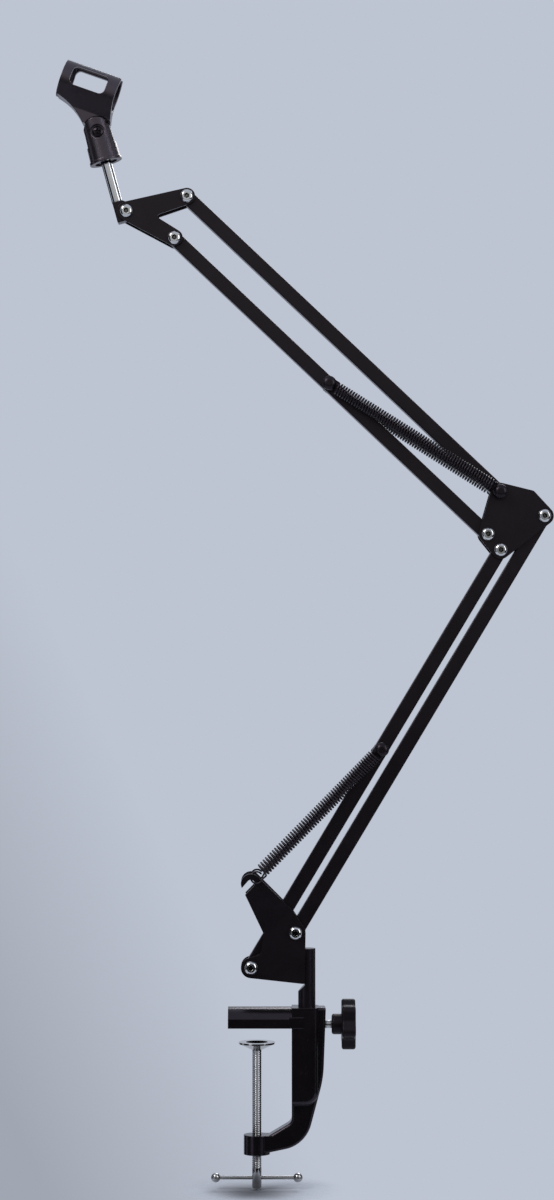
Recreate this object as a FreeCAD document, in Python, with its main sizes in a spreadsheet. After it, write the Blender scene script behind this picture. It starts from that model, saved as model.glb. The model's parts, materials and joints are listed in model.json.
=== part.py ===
import FreeCAD, Part
import math
import os
import Sketcher

# Driving sizes in millimetres and degrees, each written once.
SIZES = {
    # Shared fits
    "overrun": 3.0,
    "hole_gap": 0.1,
    "running_gap": 0.05,
    "side_gap": 0.1,
    "free_gap": 0.4,
    # Square tube arms
    "bar_width": 10.0,
    "bar_wall": 1.0,
    "bar_corner": 0.8,
    "lower_pitch": 341.9,
    "upper_pitch": 306.9,
    "lower_lean": 58.94,
    "upper_lean": 136.44,
    "lower_link": 39.42,
    "lower_link_lean": 37.8,
    "upper_link": 31.15,
    "upper_link_lean": 73.7,
    "lower_peg_reach": 177.8,
    "upper_peg_reach": 155.0,
    # Sheet plates and pivots
    "sheet": 1.5,
    "lobe_radius": 6.5,
    "bolt_radius": 2.5,
    "head_radius": 4.75,
    "head_height": 2.75,
    "head_rim": 0.9,
    "head_flat": 3.0,
    "head_round": 3.2,
    "key_radius": 2.0,
    "key_depth": 1.6,
    "nut_radius": 4.6,
    "nut_height": 4.0,
    "bolt_tip": 1.2,
    "washer_thick": 0.9,
    "washer_radius": 5.6,
    # Springs
    "wire_radius": 0.55,
    "coil_radius": 4.2,
    "coil_turns": 22.0,
    "loop_rise": 6.0,
    "loop_start": -20.0,
    "loop_end": 262.0,
    "loop_swing": 52.0,
    "hook_twist": 48.0,
    "spring_gap": 0.6,
    "loop_gap": 0.35,
    "spacer_radius": 4.2,
    "peg_head_radius": 5.0,
    "peg_head_height": 3.2,
    "peg_head_rim": 0.8,
    "peg_head_flat": 2.0,
    "peg_head_round": 4.4,
    # Clamp frame
    "jaw_reach": 20.2,
    "jaw_width": 24.0,
    "jaw_height": 14.0,
    "jaw_side": 6.4,
    "jaw_arch": 13.3,
    "spine_inner": 24.4,
    "frame_right": 48.3,
    "frame_corner": 1.5,
    "frame_bow": 75.0,
    "frame_bow_level": -23.6,
    "frame_bow_inset": 1.4,
    "frame_heel": 23.3,
    "frame_heel_across": 15.4,
    "frame_heel_level": -61.0,
    "frame_foot_level": -88.0,
    "frame_foot_top": -74.6,
    "frame_inner_round": 5.3,
    "frame_inner_level": -62.1,
    "frame_slope_across": 8.3,
    "arm_width": 15.0,
    "arm_edge": 2.0,
    "boss_width": 22.0,
    "boss_right": 43.3,
    "boss_level": -43.7,
    "boss_round": 9.9,
    "boss_edge": 4.0,
    "foot_radius": 9.2,
    "gusset_rise": 7.5,
    "gusset_run": 9.0,
    # Post and lock
    "post_across": 35.0,
    "post_radius": 6.1,
    "post_depth": 40.0,
    "post_top": 54.5,
    "post_flat": 1.5,
    "post_slant_level": 29.2,
    "socket_floor": 4.0,
    "lock_level": 1.8,
    "stud_radius": 2.8,
    "hub_start": 52.4,
    "hub_length": 6.9,
    "hub_radius": 7.1,
    "hub_edge": 1.6,
    "knob_thick": 9.8,
    "knob_lobe_ring": 13.3,
    "knob_lobe": 4.3,
    "knob_hollow_ring": 18.2,
    "knob_hollow": 4.5,
    "knob_edge": 1.6,
    "knob_turn": 15.0,
    "knob_seat": 4.0,
    # Clamp screw
    "screw_radius": 3.3,
    "screw_end": -111.5,
    "dish_top": -10.6,
    "dish_rim_radius": 12.8,
    "dish_rim": 1.2,
    "dish_height": 5.0,
    "dish_neck_radius": 4.6,
    "dish_hollow_radius": 7.3,
    "dish_hollow_depth": 2.0,
    "dish_socket_depth": 1.6,
    "tommy_level": -104.3,
    "tommy_radius": 1.3,
    "tommy_reach": 28.7,
    "tommy_ball_radius": 3.3,
    "tommy_ball_seat": 2.2,
    # Base bracket
    "base_across": -4.1,
    "base_level": 41.47,
    "base_lobe": 7.1,
    "base_bottom": 30.4,
    "base_corner": 1.5,
    "fold_level": 13.7,
    "fold_left": 21.5,
    "fold_right": 47.5,
    "waist_across": 10.1,
    "waist_level": 9.3,
    "waist_round": 5.2,
    "flare": 10.0,
    "hook_across": 36.0,
    "hook_reach": 33.7,
    "hook_outer": 6.9,
    "hook_inner": 2.8,
    "mouth_radius": 2.3,
    "mouth_across": 14.7,
    "mouth_drop": 2.5,
    "seat_gap": 0.4,
    # Elbow and head plates
    "elbow_step_across": -8.9,
    "elbow_step_level": 11.2,
    "elbow_corner": 3.0,
    "elbow_corner_across": 22.1,
    "elbow_corner_level": 39.2,
    "tilt_across": -34.4,
    "tilt_level": 19.3,
    "tilt_lobe": 6.7,
    "head_lobe": 5.9,
    "notch_across": -10.4,
    "notch_level": 15.4,
    "notch_round": 1.6,
    # Tilt block, shaft and clip
    "shaft_lean": 15.4,
    "shaft_offset": 4.8,
    "shaft_radius": 3.8,
    "shaft_foot": 8.6,
    "spigot_radius": 2.0,
    "spigot_length": 5.0,
    "block_left": 3.4,
    "block_bottom": 6.4,
    "block_lobe": 6.3,
    "block_corner": 1.0,
    "clip_foot": 38.6,
    "clip_pivot": 60.4,
    "clip_rim_radius": 11.7,
    "clip_rim_height": 2.0,
    "clip_body_radius": 11.1,
    "ear_radius": 10.4,
    "ear_width": 20.0,
    "fork_slot": 8.2,
    "fork_floor": 51.3,
    "adaptor_radius": 7.9,
    "adaptor_length": 8.0,
    "adaptor_sink": 1.0,
    "clip_screw_radius": 2.0,
    "clip_screw_head": 4.0,
    "clip_screw_head_height": 2.2,
    "clip_screw_round": 6.0,
    "counterbore_radius": 5.0,
    "counterbore_depth": 2.0,
    "clip_nut_radius": 4.0,
    "clip_nut_height": 2.6,
    # Clip holder
    "holder_lean": -19.5,
    "barrel_rise": 29.5,
    "barrel_left": 37.8,
    "barrel_right": 3.2,
    "barrel_bore": 11.3,
    "bore_relief": 0.6,
    "barrel_left_radius": 13.9,
    "barrel_right_radius": 13.9,
    "barrel_gap": 10.0,
    "barrel_gap_floor": 4.7,
    "window_width": 26.4,
    "window_height": 14.4,
    "window_round": 4.0,
    "window_across": -18.0,
    "window_level": 3.0,
    "neck_width": 15.0,
    "neck_top_width": 25.66,
    "neck_left": 36.8,
    "neck_sweep": 45.0,
    "neck_top": 5.34,
    "neck_edge": 13.4,
    "neck_tail": 2.0,
    "neck_floor": 11.3,
    "neck_left_turn": 165.0,
    "neck_right_turn": 58.0,
    "neck_sweep_right": 60.0,
    "tongue_radius": 8.0,
    "tongue_width": 7.8,
}


class Size:
    """A number together with the sheet formula that yields it."""

    def __init__(self, value, formula):
        self.value = value
        self.formula = formula

    def __add__(self, other):
        return Size(self.value + other.value, "(%s + %s)" % (self.formula, other.formula))

    def __sub__(self, other):
        return Size(self.value - other.value, "(%s - %s)" % (self.formula, other.formula))

    def __mul__(self, factor):
        factor = as_size(factor)
        return Size(self.value * factor.value, "(%s * %s)" % (self.formula, factor.formula))

    def __truediv__(self, factor):
        factor = as_size(factor)
        return Size(self.value / factor.value, "(%s / %s)" % (self.formula, factor.formula))

    def __neg__(self):
        return Size(-self.value, "(-1 * %s)" % self.formula)


def as_size(number):
    if isinstance(number, Size):
        return number
    return Size(float(number), repr(float(number)))


def cosine(angle):
    return Size(math.cos(math.radians(angle.value)), "cos(%s)" % angle.formula)


def sine(angle):
    return Size(math.sin(math.radians(angle.value)), "sin(%s)" % angle.formula)


class Sheet:
    """The driving sizes, readable by name."""


doc = FreeCAD.newDocument("BoomArm")
sheet = doc.addObject("Spreadsheet::Sheet", "Sizes")
d = Sheet()
for row, alias in enumerate(SIZES, 1):
    sheet.set("A%d" % row, alias)
    sheet.set("B%d" % row, str(SIZES[alias]))
    sheet.setAlias("B%d" % row, alias)
    setattr(d, alias, Size(SIZES[alias], "Sizes." + alias))
doc.recompute()
ZERO = Size(0.0, "0")
NODES = []
HEX_SIDES = 6
KNOB_LOBES = 6


class Spot:
    """A place in the vertical mid-plane of the arm."""

    def __init__(self, x, z):
        self.x = x
        self.z = z

    def moved(self, dx, dz):
        return Spot(self.x + dx, self.z + dz)

    def polar(self, reach, lean):
        return self.moved(reach * cosine(lean), reach * sine(lean))

    def turned(self, dx, dz, lean):
        across = dx * cosine(lean) - dz * sine(lean)
        rise = dx * sine(lean) + dz * cosine(lean)
        return self.moved(across, rise)


def place(item, spot, lean=None):
    if lean is not None:
        axis = FreeCAD.Vector(0, -1 if lean.value > 0 else 1, 0)
        item.Placement = FreeCAD.Placement(
            FreeCAD.Vector(), FreeCAD.Rotation(axis, abs(lean.value)))
        item.setExpression("Placement.Rotation.Angle", "abs(%s)" % lean.formula)
    item.setExpression("Placement.Base.x", spot.x.formula)
    item.setExpression("Placement.Base.z", spot.z.formula)


def node(item, label):
    item.Label = label
    NODES.append(item)
    return item


# Sketch and feature helpers
def new_body(label, spot, lean=None):
    body = doc.addObject("PartDesign::Body", label)
    place(body, spot, lean)
    return body


def new_sketch(body, plane="XZ_Plane", lift=None, along=None, tilt=None):
    sketch = body.newObject("Sketcher::SketchObject", body.Name + "_sketch")
    planes = {item.Role: item for item in body.Origin.OriginFeatures}
    sketch.AttachmentSupport = [(planes[plane], "")]
    sketch.MapMode = "FlatFace"
    if tilt is not None:
        axis = FreeCAD.Vector(1 if tilt.value > 0 else -1, 0, 0)
        sketch.AttachmentOffset = FreeCAD.Placement(
            FreeCAD.Vector(), FreeCAD.Rotation(axis, abs(tilt.value)))
        sketch.setExpression("AttachmentOffset.Rotation.Angle", "abs(%s)" % tilt.formula)
    if lift is not None:
        sketch.setExpression("AttachmentOffset.Base.z", lift.formula)
    if along is not None:
        sketch.setExpression("AttachmentOffset.Base.y", along.formula)
    return sketch


def bind(sketch, kind, *place_and_size):
    size = place_and_size[-1]
    index = sketch.addConstraint(Sketcher.Constraint(kind, *place_and_size[:-1], size.value))
    sketch.setExpression("Constraints[%d]" % index, size.formula)


def fix_point(sketch, item, end, x, y):
    if x is ZERO and y is ZERO:
        sketch.addConstraint(Sketcher.Constraint("Coincident", item, end, -1, 1))
        return
    if x is ZERO:
        sketch.addConstraint(Sketcher.Constraint("PointOnObject", item, end, -2))
    else:
        bind(sketch, "DistanceX", -1, 1, item, end, x)
    if y is ZERO:
        sketch.addConstraint(Sketcher.Constraint("PointOnObject", item, end, -1))
    else:
        bind(sketch, "DistanceY", -1, 1, item, end, y)


def circle(sketch, x, y, radius):
    shape = Part.Circle(FreeCAD.Vector(x.value, y.value, 0), FreeCAD.Vector(0, 0, 1), radius.value)
    item = sketch.addGeometry(shape, False)
    bind(sketch, "Radius", item, radius)
    fix_point(sketch, item, 3, x, y)


def belt(sketch, lobes):
    """A closed outline drawn like a belt round circles, anticlockwise.

    Each lobe is (x, y, radius, side): side 1 is a rounded corner, -1 a rounded
    hollow, and a radius of None a sharp corner."""
    count = len(lobes)
    touch = []
    for index in range(count):
        here = lobes[index]
        there = lobes[(index + 1) % count]
        start = here[2].value * here[3] if here[2] else 0.0
        end = there[2].value * there[3] if there[2] else 0.0
        run = there[0].value - here[0].value
        rise = there[1].value - here[1].value
        way = math.atan2(rise, run) - math.asin((end - start) / math.hypot(run, rise))
        side = FreeCAD.Vector(-math.sin(way), math.cos(way), 0)
        touch.append((FreeCAD.Vector(here[0].value, here[1].value, 0) - side * start,
                      FreeCAD.Vector(there[0].value, there[1].value, 0) - side * end))
    lines = [sketch.addGeometry(Part.LineSegment(a, b), False) for a, b in touch]
    for index, (x, y, radius, side) in enumerate(lobes):
        before = lines[index - 1]
        after = lines[index]
        if radius is None:
            sketch.addConstraint(Sketcher.Constraint("Coincident", before, 2, after, 1))
            fix_point(sketch, after, 1, x, y)
            continue
        centre = FreeCAD.Vector(x.value, y.value, 0)
        into = touch[index - 1][1] - centre
        out = touch[index][0] - centre
        if side < 0:
            into, out = out, into
        first = math.atan2(into.y, into.x)
        last = math.atan2(out.y, out.x)
        if last <= first:
            last += 2 * math.pi
        shape = Part.Circle(centre, FreeCAD.Vector(0, 0, 1), radius.value)
        arc = sketch.addGeometry(Part.ArcOfCircle(shape, first, last), False)
        sketch.addConstraint(Sketcher.Constraint("Tangent", before, 2, arc, 1 if side > 0 else 2))
        sketch.addConstraint(Sketcher.Constraint("Tangent", arc, 2 if side > 0 else 1, after, 1))
        bind(sketch, "Radius", arc, radius)
        fix_point(sketch, arc, 3, x, y)


def outline(sketch, corners):
    """A closed outline through given corners, anticlockwise or clockwise.

    Each corner is (x, y) or (x, y, radius, side), where the radius bows the edge
    that follows it: side 1 swings anticlockwise, -1 clockwise."""
    count = len(corners)
    ends = []
    for index in range(count):
        here = corners[index]
        there = corners[(index + 1) % count]
        first = FreeCAD.Vector(here[0].value, here[1].value, 0)
        second = FreeCAD.Vector(there[0].value, there[1].value, 0)
        if len(here) == 2:
            item = sketch.addGeometry(Part.LineSegment(first, second), False)
            ends.append((item, 1, 2))
            continue
        radius = here[2]
        half = (second - first) * 0.5
        off = math.sqrt(radius.value ** 2 - half.Length ** 2)
        side = FreeCAD.Vector(-half.y, half.x, 0).normalize() * here[3]
        centre = first + half + side * off
        begin, finish = (first, second) if here[3] > 0 else (second, first)
        low = math.atan2(begin.y - centre.y, begin.x - centre.x)
        high = math.atan2(finish.y - centre.y, finish.x - centre.x)
        if high <= low:
            high += 2 * math.pi
        shape = Part.Circle(centre, FreeCAD.Vector(0, 0, 1), radius.value)
        item = sketch.addGeometry(Part.ArcOfCircle(shape, low, high), False)
        bind(sketch, "Radius", item, radius)
        ends.append((item, 1, 2) if here[3] > 0 else (item, 2, 1))
    for index, corner in enumerate(corners):
        item, start, end = ends[index]
        before = ends[index - 1]
        sketch.addConstraint(Sketcher.Constraint("Coincident", before[0], before[2], item, start))
        fix_point(sketch, item, start, corner[0], corner[1])


def hexagon(sketch, radius):
    corners = []
    for step in range(HEX_SIDES):
        lean = as_size((step + 0.5) * 360 / HEX_SIDES)
        corners.append((radius * cosine(lean), radius * sine(lean)))
    outline(sketch, corners)


def pad(body, sketch, length, both=False, reverse=False):
    feature = body.newObject("PartDesign::Pad", body.Name + "_pad")
    feature.Profile = sketch
    feature.setExpression("Length", length.formula)
    feature.SideType = "Symmetric" if both else "One side"
    feature.Reversed = reverse
    return feature


def pocket(body, sketch, length, both=False, reverse=False):
    feature = body.newObject("PartDesign::Pocket", body.Name + "_pocket")
    feature.Profile = sketch
    feature.setExpression("Length", length.formula)
    feature.SideType = "Symmetric" if both else "One side"
    feature.Reversed = reverse
    return feature


def spin(body, sketch, axis):
    feature = body.newObject("PartDesign::Revolution", body.Name + "_spin")
    feature.Profile = sketch
    feature.ReferenceAxis = (sketch, [axis])
    return feature


def turned(name, spot, profile, axis="Y", lean=None):
    """A turned piece from (radius, along) corners, round Y, Z or X through its spot."""
    body = new_body(name, spot, lean)
    sketch = new_sketch(body, "XY_Plane" if axis == "Y" else "XZ_Plane")
    if axis == "X":
        profile = [(c[1], c[0]) + tuple(c[2:]) for c in profile]
    outline(sketch, profile)
    spin(body, sketch, "H_Axis" if axis == "X" else "V_Axis")
    return body


def round_edges(body, radius, chosen):
    """Rounds the edges of the body so far that the test picks out."""
    doc.recompute()
    tip = body.Tip
    names = ["Edge%d" % (i + 1) for i, edge in enumerate(tip.Shape.Edges) if chosen(edge)]
    feature = body.newObject("PartDesign::Fillet", body.Name + "_round")
    feature.Base = (tip, names)
    feature.setExpression("Radius", radius.formula)
    return feature


def group(name, items):
    gathered = doc.addObject("Part::Compound", name)
    gathered.Links = items
    return gathered


# Where the pivots lie
base_left = Spot(d.base_across, d.base_level)
base_right = base_left.polar(d.lower_link, d.lower_link_lean)
elbow_low = base_left.polar(d.lower_pitch, d.lower_lean)
elbow_right = elbow_low.polar(d.lower_link, d.lower_link_lean)
elbow_left = elbow_low.moved(d.elbow_step_across, d.elbow_step_level)
elbow_top = elbow_left.polar(d.upper_link, d.upper_link_lean)
head_low = elbow_left.polar(d.upper_pitch, d.upper_lean)
head_top = head_low.polar(d.upper_link, d.upper_link_lean)
tilt = head_low.moved(d.tilt_across, d.tilt_level)
clip = tilt.turned(-d.shaft_offset, d.clip_pivot, d.shaft_lean)
lower_peg = base_left.polar(d.lower_peg_reach, d.lower_lean)
upper_peg = elbow_left.polar(d.upper_peg_reach, d.upper_lean)
ORIGIN = Spot(ZERO, ZERO)

# How the layers lie outward from the mid-plane
bar_half = d.bar_width / 2
plate_inner = bar_half + d.side_gap + d.washer_thick
plate_outer = plate_inner + d.sheet
spring_plane = plate_outer + d.spring_gap + d.coil_radius + d.wire_radius
peg_hole = d.bolt_radius + d.hole_gap
pivot_hole = d.bolt_radius + d.running_gap

# Clamp frame: curved arm, thick boss, upper jaw and foot in one casting
frame = node(new_body("clamp_frame", ORIGIN), "clamp_frame")
sketch = new_sketch(frame)
belt(sketch, [
    (ZERO, d.frame_foot_level, None, 1),
    (d.frame_heel_across, d.frame_heel_level, d.frame_heel, 1),
    (d.frame_right - d.frame_bow_inset - d.frame_bow, d.frame_bow_level, d.frame_bow, 1),
    (d.frame_right - d.frame_corner, d.jaw_height - d.frame_corner, d.frame_corner, 1),
    (d.spine_inner, d.jaw_height, None, 1),
    (d.spine_inner - d.frame_inner_round, d.frame_inner_level, d.frame_inner_round, -1),
    (d.frame_slope_across, d.frame_foot_top, None, 1),
    (ZERO, d.frame_foot_top, None, 1),
])
pad(frame, sketch, d.arm_width, both=True)
arm_half = d.arm_width.value / 2
round_edges(frame, d.arm_edge, lambda edge: abs(abs(edge.CenterOfMass.y) - arm_half) < 1e-6
            and edge.CenterOfMass.x > d.frame_slope_across.value
            and edge.CenterOfMass.z < d.frame_bow_level.value)
sketch = new_sketch(frame)
belt(sketch, [
    (d.spine_inner, d.boss_level - d.boss_round, None, 1),
    (d.boss_right - d.boss_round, d.boss_level, d.boss_round, 1),
    (d.boss_right, d.jaw_height, None, 1),
    (d.spine_inner, d.jaw_height, None, 1),
])
pad(frame, sketch, d.boss_width, both=True)
boss_half = d.boss_width.value / 2
round_edges(frame, d.boss_edge, lambda edge: abs(abs(edge.CenterOfMass.y) - boss_half) < 1e-6
            and edge.CenterOfMass.x > d.post_across.value
            and edge.CenterOfMass.z < d.jaw_height.value - 1e-6)
sketch = new_sketch(frame, "YZ_Plane", lift=-d.jaw_reach)
jaw_half = d.jaw_width / 2
outline(sketch, [
    (-jaw_half, ZERO),
    (jaw_half, ZERO),
    (jaw_half, d.jaw_side, d.jaw_arch, 1),
    (-jaw_half, d.jaw_side),
])
pad(frame, sketch, d.jaw_reach + d.spine_inner)
for side in (1, -1):
    sketch = new_sketch(frame, "XY_Plane")
    outline(sketch, [
        (d.spine_inner - d.arm_edge, ZERO),
        (d.spine_inner + d.gusset_run, ZERO),
        (d.spine_inner + d.gusset_run, d.boss_width / 2 * side),
        (d.spine_inner, jaw_half * side),
        (d.spine_inner - d.arm_edge, jaw_half * side),
    ])
    pad(frame, sketch, d.gusset_rise)
sketch = new_sketch(frame, "XY_Plane", lift=d.frame_foot_level)
circle(sketch, ZERO, ZERO, d.foot_radius)
pad(frame, sketch, d.frame_foot_top - d.frame_foot_level)
sketch = new_sketch(frame, "XY_Plane", lift=d.jaw_height)
circle(sketch, d.post_across, ZERO, d.post_radius + d.running_gap)
pocket(frame, sketch, d.post_depth + d.socket_floor)
sketch = new_sketch(frame, "YZ_Plane", lift=d.frame_right + d.overrun)
circle(sketch, ZERO, d.lock_level, d.stud_radius + d.running_gap)
pocket(frame, sketch, d.frame_right + d.overrun - d.post_across)
sketch = new_sketch(frame, "XY_Plane", lift=d.frame_foot_top + d.overrun)
circle(sketch, ZERO, ZERO, d.screw_radius + d.running_gap)
pocket(frame, sketch, d.frame_foot_top - d.frame_foot_level + d.overrun * 2)

# Clamp screw, pressure dish and tommy bar
dish_bottom = d.dish_top - d.dish_height
screw_top = dish_bottom + d.dish_socket_depth
screw = node(turned("clamp_screw", ORIGIN, [
    (ZERO, d.screw_end),
    (d.screw_radius, d.screw_end),
    (d.screw_radius, screw_top),
    (ZERO, screw_top),
], "Z"), "clamp_screw")
sketch = new_sketch(screw, "YZ_Plane")
circle(sketch, ZERO, d.tommy_level, d.tommy_radius + d.running_gap)
pocket(screw, sketch, (d.screw_radius + d.overrun) * 2, both=True)
socket_radius = d.screw_radius + d.running_gap
socket_top = screw_top + d.hole_gap
node(turned("pressure_dish", ORIGIN, [
    (ZERO, socket_top),
    (socket_radius, socket_top),
    (socket_radius, dish_bottom),
    (d.dish_neck_radius, dish_bottom),
    (d.dish_rim_radius, d.dish_top - d.dish_rim),
    (d.dish_rim_radius, d.dish_top),
    (d.dish_hollow_radius, d.dish_top),
    (ZERO, d.dish_top - d.dish_hollow_depth),
], "Z"), "pressure_dish")
tommy_spot = Spot(ZERO, d.tommy_level)
bar_reach = d.tommy_reach - d.tommy_ball_radius + d.tommy_ball_seat
node(turned("tommy_bar", tommy_spot, [
    (ZERO, -bar_reach),
    (d.tommy_radius, -bar_reach),
    (d.tommy_radius, bar_reach),
    (ZERO, bar_reach),
], "X"), "tommy_bar")
for name, side in (("tommy_ball_left", -1), ("tommy_ball_right", 1)):
    ball = doc.addObject("Part::Sphere", name + "_round")
    ball.setExpression("Radius", d.tommy_ball_radius.formula)
    place(ball, Spot(d.tommy_reach * side, d.tommy_level))
    seat = doc.addObject("Part::Cylinder", name + "_seat")
    seat.setExpression("Radius", (d.tommy_radius + d.hole_gap).formula)
    seat.setExpression("Height", (bar_reach + d.hole_gap).formula)
    seat.Placement = FreeCAD.Placement(
        FreeCAD.Vector(), FreeCAD.Rotation(FreeCAD.Vector(0, 1, 0), 90 * side))
    seat.setExpression("Placement.Base.z", d.tommy_level.formula)
    bored = doc.addObject("Part::Cut", name)
    bored.Base = ball
    bored.Tool = seat
    node(bored, name)

# Lock knob and its stud
knob = node(new_body("lock_knob", Spot(d.hub_start, d.lock_level)), "lock_knob")
sketch = new_sketch(knob, "YZ_Plane")
circle(sketch, ZERO, ZERO, d.hub_radius)
pad(knob, sketch, d.hub_length)
round_edges(knob, d.hub_edge, lambda edge: abs(edge.CenterOfMass.x) < 1e-6)
sketch = new_sketch(knob, "YZ_Plane", lift=d.hub_length)
lobes = []
for step in range(KNOB_LOBES):
    lean = d.knob_turn + as_size(step * 360 / KNOB_LOBES)
    lobes.append((d.knob_lobe_ring * cosine(lean), d.knob_lobe_ring * sine(lean), d.knob_lobe, 1))
    lean = lean + as_size(180 / KNOB_LOBES)
    lobes.append((d.knob_hollow_ring * cosine(lean), d.knob_hollow_ring * sine(lean),
                  d.knob_hollow, -1))
belt(sketch, lobes)
pad(knob, sketch, d.knob_thick)
round_edges(knob, d.knob_edge, lambda edge: edge.BoundBox.XLength < 1e-6
            and edge.CenterOfMass.x > d.hub_length.value - 1e-6
            and math.hypot(edge.CenterOfMass.y, edge.CenterOfMass.z) > d.hub_radius.value)
sketch = new_sketch(knob, "YZ_Plane")
circle(sketch, ZERO, ZERO, d.stud_radius + d.hole_gap)
pocket(knob, sketch, d.knob_seat + d.hole_gap, reverse=True)
stud_start = d.post_across + d.post_radius + d.free_gap
node(turned("lock_stud", Spot(ZERO, d.lock_level), [
    (ZERO, stud_start),
    (d.stud_radius, stud_start),
    (d.stud_radius, d.hub_start + d.knob_seat),
    (ZERO, d.hub_start + d.knob_seat),
], "X"), "lock_stud")

# Swivel post with its flat for the bracket
post = node(new_body("swivel_post", Spot(d.post_across, ZERO)), "swivel_post")
sketch = new_sketch(post, "XY_Plane", lift=d.jaw_height - d.post_depth)
circle(sketch, ZERO, ZERO, d.post_radius)
pad(post, sketch, d.post_top - d.jaw_height + d.post_depth)
sketch = new_sketch(post)
clear = d.post_radius + d.overrun
outline(sketch, [
    (-d.post_flat, d.post_slant_level),
    (-d.post_flat, d.post_top + d.overrun),
    (-clear, d.post_top + d.overrun),
    (-clear, d.post_slant_level - clear + d.post_flat),
])
pocket(post, sketch, clear * 2, both=True)

# Base bracket: two plates, a web against the post, two flared spring hooks
web_across = d.post_across - d.post_flat


def along_link(x, z):
    """A place of the upright frame as seen along the line of the two base pivots."""
    run = x - d.base_across
    rise = z - d.base_level
    lean = d.lower_link_lean
    return (run * cosine(lean) + rise * sine(lean), rise * cosine(lean) - run * sine(lean))


bracket = node(new_body("base_bracket", base_left, d.lower_link_lean), "base_bracket")
corner = along_link(web_across - d.base_corner, d.base_bottom + d.base_corner)
for lift in (plate_inner, -plate_outer):
    sketch = new_sketch(bracket, lift=lift)
    belt(sketch, [
        (ZERO, ZERO, d.base_lobe, 1),
        corner + (d.base_corner, 1),
        (d.lower_link, ZERO, d.base_lobe, 1),
        (d.fold_right, d.fold_level, None, 1),
        (d.fold_left, d.fold_level, None, 1),
        (d.waist_across, d.waist_level, d.waist_round, -1),
    ])
    pad(bracket, sketch, d.sheet)
    if lift is plate_inner:
        web = new_sketch(bracket)
        outline(web, [
            along_link(web_across - d.sheet, d.base_bottom),
            along_link(web_across, d.base_bottom),
            along_link(web_across, d.post_top),
            along_link(web_across - d.sheet, d.post_top),
        ])
        pad(bracket, web, plate_outer * 2, both=True)
for side in (1, -1):
    flared = new_sketch(bracket, lift=plate_inner * side, along=d.fold_level, tilt=d.flare * side)
    belt(flared, [
        (d.fold_left, ZERO, None, 1),
        (d.fold_right, ZERO, None, 1),
        (d.hook_across, d.hook_reach, d.hook_outer, 1),
    ])
    pad(bracket, flared, d.sheet, reverse=side < 0)
    mouth = new_sketch(bracket, lift=plate_inner * side, along=d.fold_level, tilt=d.flare * side)
    belt(mouth, [
        (d.hook_across, d.hook_reach, d.hook_inner, 1),
        (d.hook_across - d.mouth_across, d.hook_reach - d.mouth_drop, d.mouth_radius, 1),
    ])
    pocket(bracket, mouth, d.sheet * 4, both=True)
sketch = new_sketch(bracket)
circle(sketch, ZERO, ZERO, peg_hole)
circle(sketch, d.lower_link, ZERO, peg_hole)
pocket(bracket, sketch, plate_outer * 4, both=True)


# Fasteners
def pivot_bolt(name, spot):
    top = -(plate_outer + d.head_height)
    tip = plate_outer + d.nut_height + d.bolt_tip
    bolt = node(turned(name, spot, [
        (ZERO, top),
        (d.head_flat, top, d.head_round, 1),
        (d.head_radius, -(plate_outer + d.head_rim)),
        (d.head_radius, -plate_outer),
        (d.bolt_radius, -plate_outer),
        (d.bolt_radius, tip),
        (ZERO, tip),
    ]), name)
    key = new_sketch(bolt, lift=plate_outer + d.head_height)
    hexagon(key, d.key_radius)
    pocket(bolt, key, d.key_depth)


def nut(name, spot, seat, radius, height, bore):
    body = new_body(name, spot)
    face = new_sketch(body, lift=-(seat + height))
    hexagon(face, radius)
    circle(face, ZERO, ZERO, bore)
    pad(body, face, height)
    return body


def pivot_nut(name, spot, seat=None):
    return nut(name, spot, seat or plate_outer, d.nut_radius, d.nut_height,
               d.bolt_radius + d.running_gap)


def ring(name, spot, inner, outer, start, end):
    return turned(name, spot, [(inner, start), (outer, start), (outer, end), (inner, end)])


def washer_pair(name, spot):
    start = plate_inner - d.washer_thick
    return [ring(name + "_front", spot, peg_hole, d.washer_radius, -plate_inner, -start),
            ring(name + "_rear", spot, peg_hole, d.washer_radius, start, plate_inner)]


peg_seat = spring_plane + d.wire_radius + d.loop_gap
spacer_end = spring_plane - d.wire_radius - d.loop_gap


def spring_bolt(name, spot, spacer_start):
    """A long bolt whose ends carry the loops of the front and rear spring."""
    top = -(peg_seat + d.peg_head_height)
    tip = peg_seat + d.nut_height + d.bolt_tip
    node(turned(name, spot, [
        (ZERO, top),
        (d.peg_head_flat, top, d.peg_head_round, 1),
        (d.peg_head_radius, -(peg_seat + d.peg_head_rim)),
        (d.peg_head_radius, -peg_seat),
        (d.bolt_radius, -peg_seat),
        (d.bolt_radius, tip),
        (ZERO, tip),
    ]), name)
    node(group(name + "_spacers", [
        ring(name + "_spacer_front", spot, peg_hole, d.spacer_radius, -spacer_end, -spacer_start),
        ring(name + "_spacer_rear", spot, peg_hole, d.spacer_radius, spacer_start, spacer_end),
    ]), name + "_spacers")


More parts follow.
